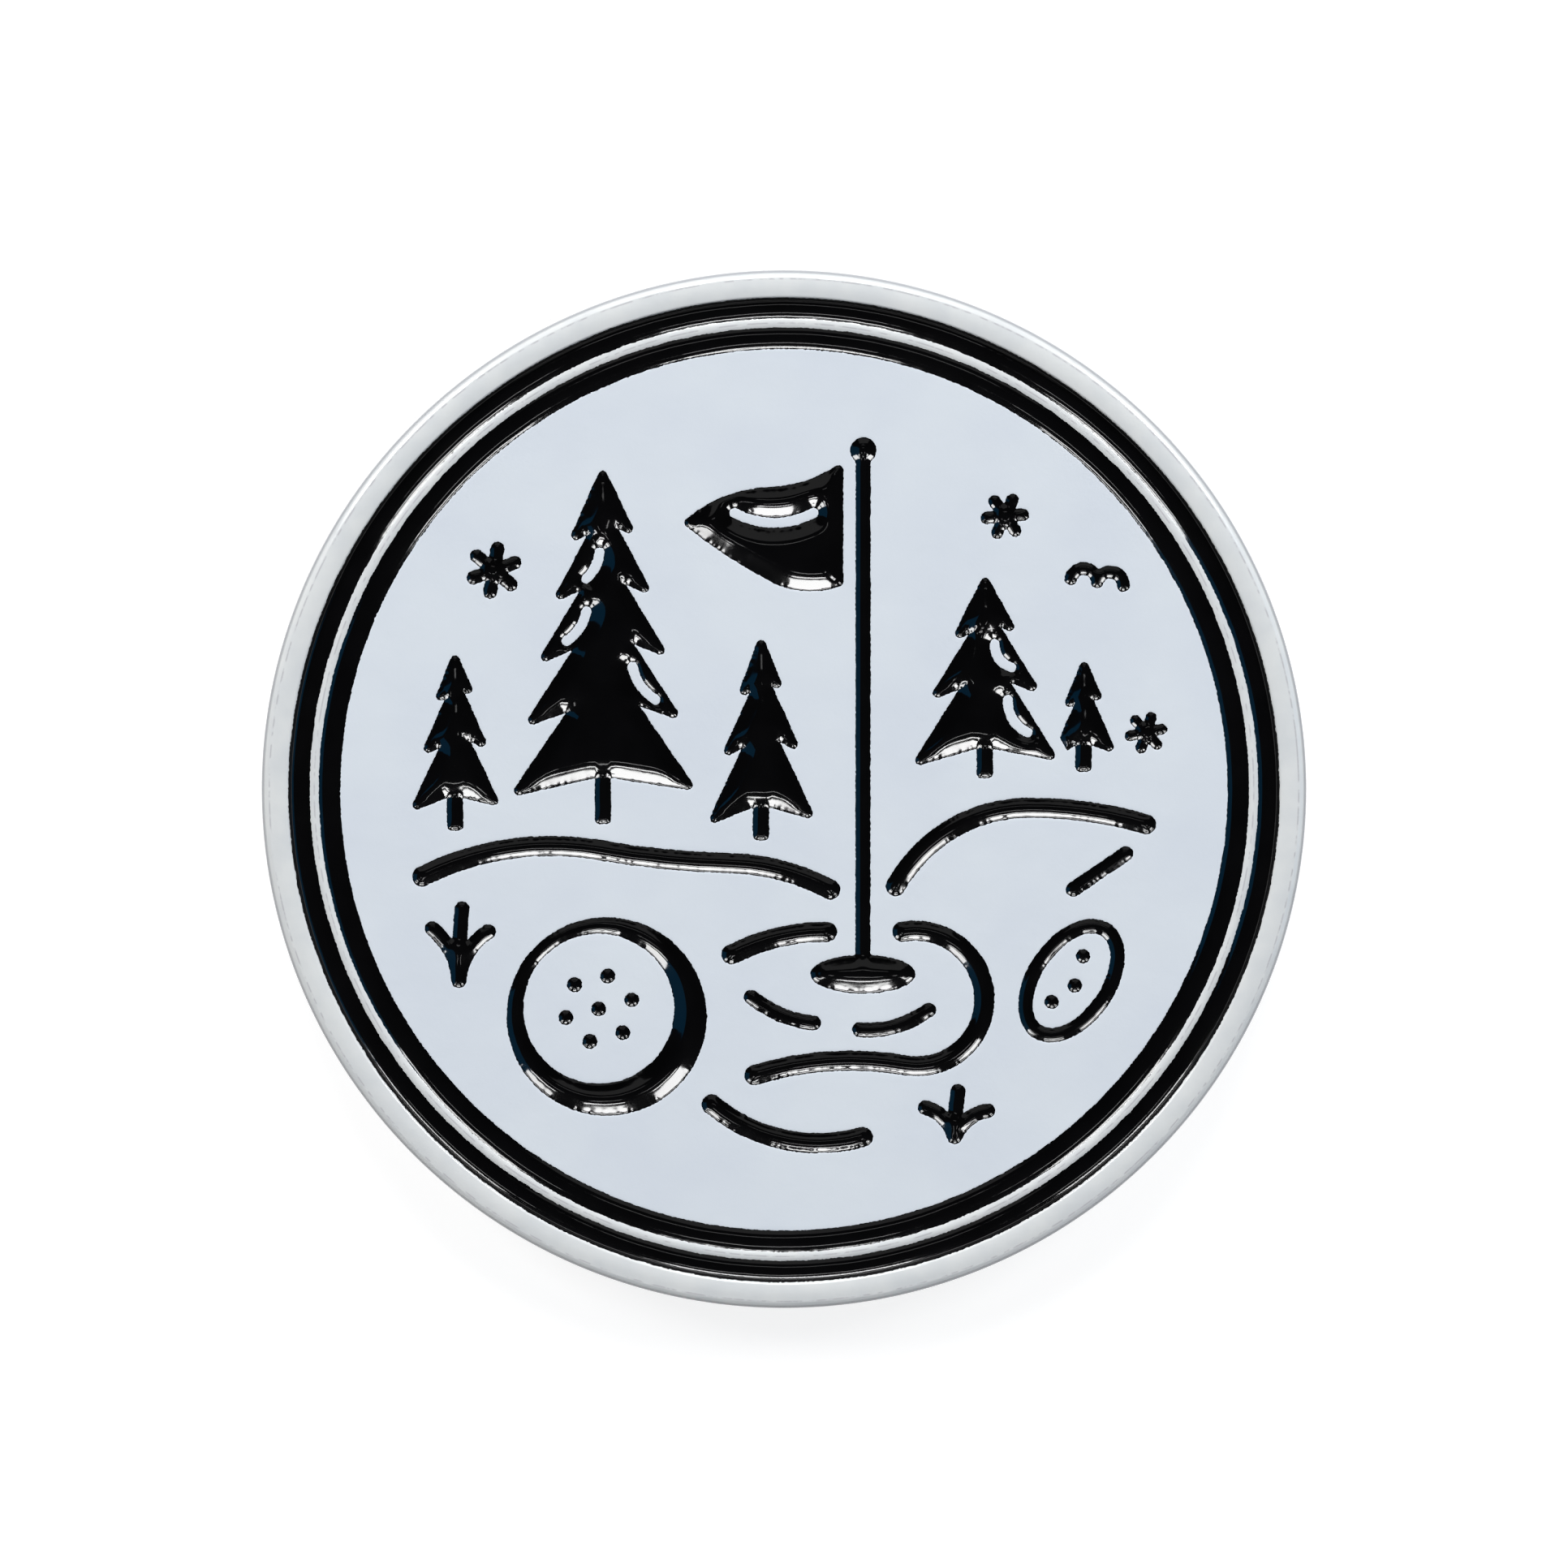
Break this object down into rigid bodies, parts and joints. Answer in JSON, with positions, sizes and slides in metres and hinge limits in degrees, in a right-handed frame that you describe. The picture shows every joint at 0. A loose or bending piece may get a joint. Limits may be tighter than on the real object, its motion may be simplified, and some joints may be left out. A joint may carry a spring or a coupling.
{
  "type": "ball marker",
  "caption": "Round struck coin with a white coat, raised rim, black enamel rings and a recessed golf scene in black enamel.",
  "frame": {"origin": "centre of the back, on the plane the marker rests on", "axes": "+Z out through the enamelled face, +Y to the top of the drawing, +X to its right"},
  "size_m": [0.0318, 0.0318, 0.003],
  "materials": {
    "white_coat": "gloss",
    "black_enamel": "gloss"
  },
  "bodies": {
    "root": {"ball_outline_enamel": "black_enamel", "ball_shadow_enamel": "black_enamel", "bird_enamel": "black_enamel", "broad_pine_enamel": "black_enamel", "bunker_enamel": "black_enamel", "coin_body": "white_coat", "dimple_enamel": "black_enamel", "far_green_edge_enamel": "black_enamel", "flagstick_enamel": "black_enamel", "front_tuft_enamel": "black_enamel", "inner_ring_enamel": "black_enamel", "left_hill_enamel": "black_enamel", "left_star_enamel": "black_enamel", "left_tuft_enamel": "black_enamel", "low_pine_enamel": "black_enamel", "mowing_line_enamel": "black_enamel", "near_green_edge_enamel": "black_enamel", "outer_pine_enamel": "black_enamel", "outer_ring_enamel": "black_enamel", "pennant_enamel": "black_enamel", "right_hill_enamel": "black_enamel", "right_star_enamel": "black_enamel", "sand_enamel": "black_enamel", "slope_dash_enamel": "black_enamel", "tall_pine_enamel": "black_enamel", "top_star_enamel": "black_enamel", "young_pine_enamel": "black_enamel"}
  },
  "joints": []
}
